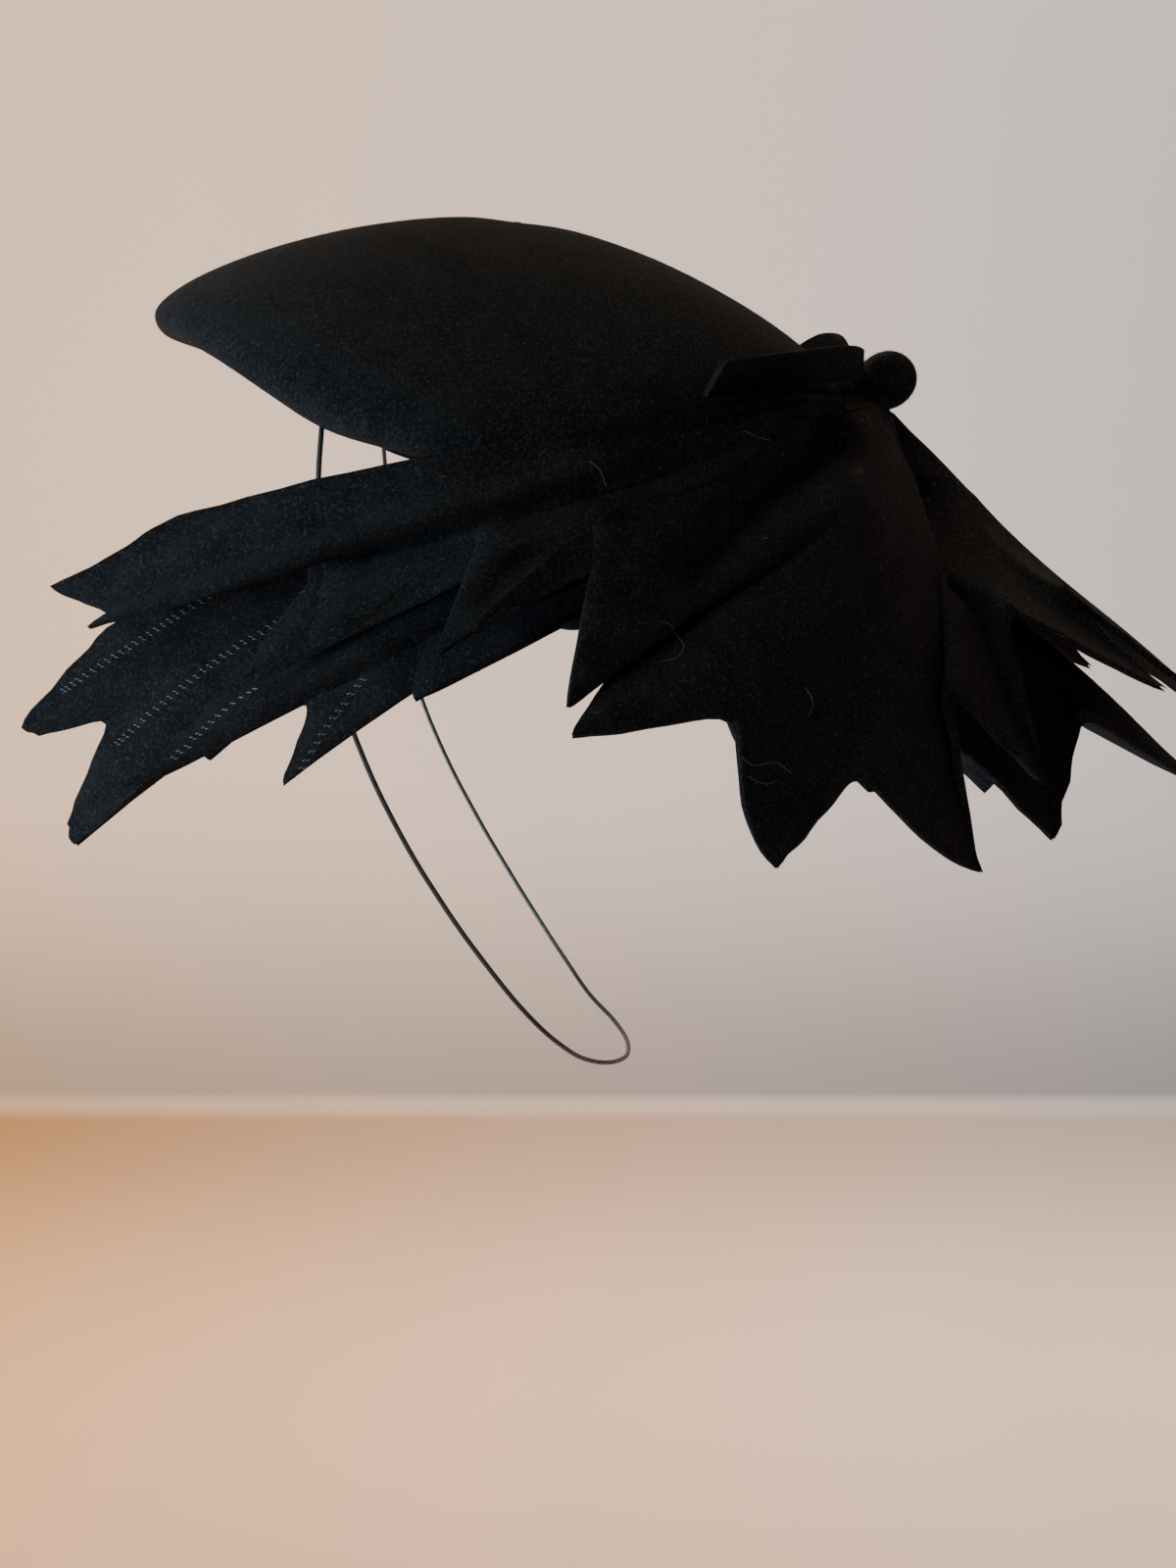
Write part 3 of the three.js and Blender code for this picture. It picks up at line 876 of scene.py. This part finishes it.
def hairs_on(leaves):
    """Stray pale hairs that lie on the leaves, each bowed up a little off the felt."""
    sizes = bpy.context.scene.hat_sizes
    tree = tree_of(leaves)
    parts = []
    for pixels, bow in HAIRS:
        route = route_on(tree, pixels, 14)
        lifted = []
        for k, place in enumerate(route):
            foot, upright = tree.find_nearest(place)[:2]
            up = upright * (0.12 + 0.08 * bow * math.sin(math.pi * k / 14)) * MM
            lifted.append(foot + up)
        parts.append(tube(lifted, sizes.hair / 2))
    draw = np.random.default_rng(41)
    points = [v.co for v in leaves.data.vertices]
    for _ in range(LINT_BITS):
        start = points[int(draw.integers(len(points)))]
        way = Vector(draw.normal(0, 1, 3)).normalized()
        turn = Vector(draw.normal(0, 0.5, 3))
        bit = []
        for _ in range(5):
            foot, upright = tree.find_nearest(start)[:2]
            bit.append(foot + upright * 0.15 * MM)
            way = (way + turn - upright * way.dot(upright)).normalized()
            start = start + way * float(draw.uniform(0.2, 0.6)) * MM
        parts.append(tube(bit, sizes.hair * float(draw.uniform(0.3, 0.5)), 3))
    material = material_of("Undyed hair", lint_material, bpy.context.scene.hat_colours)
    return mesh_piece("stray_hairs", *joined(parts), material, "wool_felt")


def stitches_along(tree, route, pitch, length, radius, apart):
    """Stitches in slanted pairs on both sides of a tuck, each pressed into the felt at its ends."""
    parts = []
    whole = sum((b - a).length for a, b in zip(route, route[1:]))
    count = max(int(whole / pitch), 2)
    for k in range(count):
        share = (k + 0.5) / count * (len(route) - 1)
        i = min(int(share), len(route) - 2)
        middle = route[i].lerp(route[i + 1], share - i)
        along = (route[i + 1] - route[i]).normalized()
        seat, normal = tree.find_nearest(middle)[:2]
        across = along.cross(normal).normalized()
        for side in (-1, 1):
            centre = seat + across * side * apart + along * pitch * 0.12 * side
            way = (along * 0.7 + across * 0.5).normalized()
            line = []
            for t in (-0.5, -0.3, 0, 0.3, 0.5):
                foot, upright = tree.find_nearest(centre + way * length * t)[:2]
                line.append(foot + upright * radius * (0.75 if abs(t) < 0.4 else -0.5))
            parts.append(tube(line, radius, 5))
    return parts


def knot_core():
    """The tie's felt where it is drawn tight between the loop, the crown and the gather: a squeezed lump,
    faintly creased, which both ends come out of."""
    low, high = (Vector(corner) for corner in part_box("knot_wrap"))
    crown_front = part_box("crown")[0][1]
    front = (low.y + high.y) / 2
    top = (low.z + high.z) / 2 + 4 * MM
    centre = Vector((0, (front + crown_front) / 2, (low.z + top) / 2))
    half = Vector(((high.x - low.x) / 2 + MM, (crown_front - front) / 2 + 2 * MM, (top - low.z) / 2))
    bpy.ops.object.select_all(action="DESELECT")
    bpy.ops.mesh.primitive_uv_sphere_add(segments=48, ring_count=28, radius=1, location=centre)
    core = bpy.context.object
    core.name = "knot_core"
    core.scale = half
    bpy.ops.object.transform_apply(location=True, rotation=True, scale=True)
    for vert in core.data.vertices:
        off = vert.co - centre
        turn = math.atan2(off.z / half.z, off.y / half.y)
        crease = 0.035 * math.cos(3 * turn + 0.8) + 0.02 * math.cos(5 * turn - off.x / half.x)
        bulge = Vector((off.x, off.y * (1 + crease), off.z * (1 + crease)))
        vert.co = centre + bulge + noise.noise_vector(vert.co * per_metre(6)) * 0.5 * MM
    bpy.ops.object.shade_smooth()
    colours = bpy.context.scene.hat_colours
    core.data.materials.append(material_of("Brushed wool felt", felt_material, colours))
    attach(core, "root")
    return core


# Operators, one for each piece or group


class HAT_OT_crown(bpy.types.Operator):
    """Makes the blocked crown from its solid"""

    bl_idname = "hat.crown"
    bl_label = "Crown"

    def execute(self, context):
        sizes = context.scene.hat_sizes
        crown = felt_piece("crown", "crown_felt", sizes.crown_felt, 2, sizes.ripple, 3)
        nap_on(crown, "crown_nap", NAP_FIBRES["crown"], 11, CROWN_TOP, 0.6)
        return {"FINISHED"}


class HAT_OT_upper_leaves(bpy.types.Operator):
    """Makes the brim's upper layer of leaves from its solid"""

    bl_idname = "hat.upper_leaves"
    bl_label = "Upper leaves"

    def execute(self, context):
        sizes = context.scene.hat_sizes
        node = "brim_upper_leaves"
        leaves = felt_piece(node, "upper_leaves_felt", sizes.felt, 2, sizes.ripple, 5, ease=3)
        curl_edges(leaves, cut_edge_points(node, sizes.felt), EDGE_CURL, CURL_REACH, 21)
        raise_along([leaves], fold_routes())
        draw_to_loop(leaves)
        nap_on(leaves, "upper_leaves_nap", NAP_FIBRES["upper"], 12, GATHER, 0.6)
        hairs_on(leaves)
        return {"FINISHED"}


class HAT_OT_lower_leaves(bpy.types.Operator):
    """Makes the brim's lower layer of leaves from its solid"""

    bl_idname = "hat.lower_leaves"
    bl_label = "Lower leaves"

    def execute(self, context):
        sizes = context.scene.hat_sizes
        node = "brim_lower_leaves"
        leaves = felt_piece(node, "lower_leaves_felt", sizes.felt, 2, sizes.ripple, 7, ease=3)
        solid = tree_of(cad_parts[node])
        tucks = [route_on(solid, pixels, 24) for pixels in TUCKS]
        curl_edges(leaves, cut_edge_points(node, sizes.felt), -EDGE_CURL, CURL_REACH, 22)
        raise_along([leaves], fold_routes())
        raise_along([leaves], [(route, sizes.tuck_height / MM, 1.7) for route in tucks])
        draw_to_loop(leaves)
        tree = tree_of(leaves)
        parts = []
        for route in tucks:
            for side in both_sides(route):
                parts += stitches_along(
                    tree, side, sizes.stitch_pitch, sizes.stitch_length, sizes.thread / 2, 0.4 * MM
                )
        colours = context.scene.hat_colours
        thread = material_of("Cotton sewing thread", thread_material, colours)
        stitches = mesh_piece("tuck_stitches", *joined(parts), thread, "wool_felt")
        make_active(stitches)
        bpy.ops.object.shade_smooth()
        nap_on(leaves, "lower_leaves_nap", NAP_FIBRES["lower"], 13, GATHER, 0.6)
        return {"FINISHED"}


class HAT_OT_knot(bpy.types.Operator):
    """Makes the knot's rolled loop and its two cut ends from their solids"""

    bl_idname = "hat.knot"
    bl_label = "Knot"

    def execute(self, context):
        sizes = context.scene.hat_sizes
        colours = context.scene.hat_colours
        roll = merged_copy("knot_wrap", "knot_felt")
        bpy.ops.object.mode_set(mode="EDIT")
        bpy.ops.mesh.select_all(action="SELECT")
        bpy.ops.mesh.tris_convert_to_quads(face_threshold=math.pi, shape_threshold=math.pi)
        bpy.ops.object.mode_set(mode="OBJECT")
        subdivide(roll, 2)
        ripple(roll, sizes.ripple, 9)
        make_active(roll)
        bpy.ops.object.shade_smooth()
        roll.data.materials.append(material_of("Brushed wool felt", felt_material, colours))
        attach(roll, "root")
        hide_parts("knot_wrap")
        nap_on(roll, "knot_nap", NAP_FIBRES["loop"], 14, GATHER, 0.5)
        core = knot_core()
        nap_on(core, "knot_core_nap", NAP_FIBRES["core"], 17, GATHER, 0.5)
        for side, seed in (("right", 15), ("left", 16)):
            name = "knot_end_" + side
            end = felt_piece(name, name + "_felt", sizes.end_felt, 3, sizes.ripple / 2, seed)
            nap_on(end, name + "_nap", NAP_FIBRES["end"], seed, GATHER, 0.6)
        return {"FINISHED"}


class HAT_OT_elastic(bpy.types.Operator):
    """Makes the chin elastic as one cord from the crown's rim round the chin and back"""

    bl_idname = "hat.elastic"
    bl_label = "Chin elastic"

    def execute(self, context):
        sizes = context.scene.hat_sizes
        colours = context.scene.hat_colours
        right = [Vector(point) * MM for point in ELASTIC_RIGHT]
        left = [Vector((-p.x, p.y, p.z)) for p in reversed(right[:-1])]
        route = right + left
        curve = bpy.data.curves.new("elastic_cord", "CURVE")
        curve.dimensions = "3D"
        curve.bevel_depth = sizes.elastic / 2
        curve.bevel_resolution = 3
        curve.resolution_u = 10
        curve.use_fill_caps = True
        line = curve.splines.new("BEZIER")
        line.bezier_points.add(len(route) - 1)
        for point, place in zip(line.bezier_points, route):
            point.co = place
            point.handle_left_type = "AUTO"
            point.handle_right_type = "AUTO"
        cord = bpy.data.objects.new("elastic_cord", curve)
        context.scene.collection.objects.link(cord)
        curve.materials.append(material_of("Braided hat elastic", elastic_material, colours))
        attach(cord, "root")
        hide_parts("chin_elastic")
        return {"FINISHED"}


class HAT_OT_stage(bpy.types.Operator):
    """Makes the pale floor, the painted wall, the soft lights and the camera"""

    bl_idname = "hat.stage"
    bl_label = "Stage"

    def execute(self, context):
        colours = context.scene.hat_colours
        bpy.ops.object.select_all(action="DESELECT")
        bpy.ops.mesh.primitive_plane_add(size=BACKDROP, location=(WALL_X - BACKDROP / 2, 0, FLOOR_Z))
        backdrop = context.object
        backdrop.name = "backdrop"
        bpy.ops.object.transform_apply(location=True, rotation=True, scale=True)
        bpy.ops.object.mode_set(mode="EDIT")
        bpy.ops.mesh.select_mode(type="EDGE")
        bpy.ops.mesh.select_all(action="DESELECT")
        mesh = bmesh.from_edit_mesh(backdrop.data)
        for edge in mesh.edges:
            edge.select_set(all(vert.co.x > WALL_X - MM for vert in edge.verts))
        bmesh.update_edit_mesh(backdrop.data)
        bpy.ops.mesh.extrude_region_move(TRANSFORM_OT_translate={"value": (0, 0, BACKDROP / 2)})
        bpy.ops.object.mode_set(mode="OBJECT")
        turn = backdrop.modifiers.new("Turn", "BEVEL")
        turn.width = TURN_WIDTH
        turn.segments = 12
        bpy.ops.object.modifier_apply(modifier=turn.name)
        bpy.ops.object.shade_smooth()
        backdrop.data.materials.append(painted_material(colours))
        camera = bpy.data.objects.new("camera", bpy.data.cameras.new("camera"))
        context.scene.collection.objects.link(camera)
        camera.data.lens = CAMERA_LENS
        camera.data.sensor_width = SENSOR
        camera.location = CAMERA_PLACE
        camera.rotation_euler = (math.pi / 2 - CAMERA_PITCH, 0, -math.pi / 2)
        context.scene.camera = camera
        # name, place, aim, width and depth in metres, spread in degrees, power in watts, colour
        lights = (
            ("window", (-0.32, 0.7, -0.22), (0, 0.02, -0.09), 0.22, 0.22, 180, 15, "#b5d3f0"),
            ("room", (-0.45, 0.42, 0.26), (0, 0, -0.09), 0.22, 0.22, 180, 2.9, "#cfdcd8"),
            ("floor bounce", (-0.42, -0.2, -0.36), (0, -0.08, -0.1), 0.2, 0.2, 180, 1.0, "#d5dade"),
            ("skylight", (-0.25, 0.4, 0.8), (0, 0, -0.08), 0.3, 0.3, 180, 1.4, "#e2e8d0"),
            ("lamp", (-0.3, -0.7, 0.55), (0, -0.07, -0.05), 0.3, 0.3, 180, 1.1, "#ffa070"),
            ("wall wash", (0.42, 0.0, 1.6), (0.54, 0, -0.4), 1.2, 0.12, 40, 14, "#fff0de"),
        )
        for name, place, target, width, depth, spread, power, code in lights:
            light = bpy.data.objects.new(name, bpy.data.lights.new(name, "AREA"))
            context.scene.collection.objects.link(light)
            light.data.shape = "RECTANGLE"
            light.data.size = width
            light.data.size_y = depth
            light.data.spread = math.radians(spread)
            light.data.energy = power
            light.data.color = linear(code)
            light.location = place
            aim = Vector(target) - light.location
            across = aim.cross(Vector((1, 0, 0))).normalized()
            turned = Matrix((across, -aim.normalized().cross(across), -aim.normalized())).transposed()
            light.rotation_euler = turned.to_euler()
        world = bpy.data.worlds.new("room")
        world.use_nodes = True
        world.node_tree.nodes["Background"].inputs["Color"].default_value = (*linear("#e6ddd2"), 1)
        world.node_tree.nodes["Background"].inputs["Strength"].default_value = 0.085
        context.scene.world = world
        return {"FINISHED"}


class HAT_PT_panel(bpy.types.Panel):
    """Lists the hat's pieces, sizes and colours"""

    bl_idname = "HAT_PT_panel"
    bl_label = "Felt tilt hat"
    bl_space_type = "VIEW_3D"
    bl_region_type = "UI"
    bl_category = "Hat"

    def draw(self, context):
        for operator in OPERATORS:
            self.layout.operator(operator.bl_idname)
        for group in (context.scene.hat_sizes, context.scene.hat_colours):
            box = self.layout.box()
            for name in group.__annotations__:
                box.prop(group, name)


OPERATORS = (
    HAT_OT_stage,
    HAT_OT_elastic,
    HAT_OT_crown,
    HAT_OT_upper_leaves,
    HAT_OT_lower_leaves,
    HAT_OT_knot,
)
CLASSES = (HatSizes, HatColours, *OPERATORS, HAT_PT_panel)


def register():
    for cls in CLASSES:
        bpy.utils.register_class(cls)
    bpy.types.Scene.hat_sizes = bpy.props.PointerProperty(type=HatSizes)
    bpy.types.Scene.hat_colours = bpy.props.PointerProperty(type=HatColours)


def unregister():
    del bpy.types.Scene.hat_colours
    del bpy.types.Scene.hat_sizes
    for cls in reversed(CLASSES):
        bpy.utils.unregister_class(cls)


def main():
    register()
    noise.seed_set(NOISE_SEED)
    for operator in OPERATORS:
        group, name = operator.bl_idname.split(".")
        getattr(getattr(bpy.ops, group), name)()


if __name__ == "__main__":
    main()
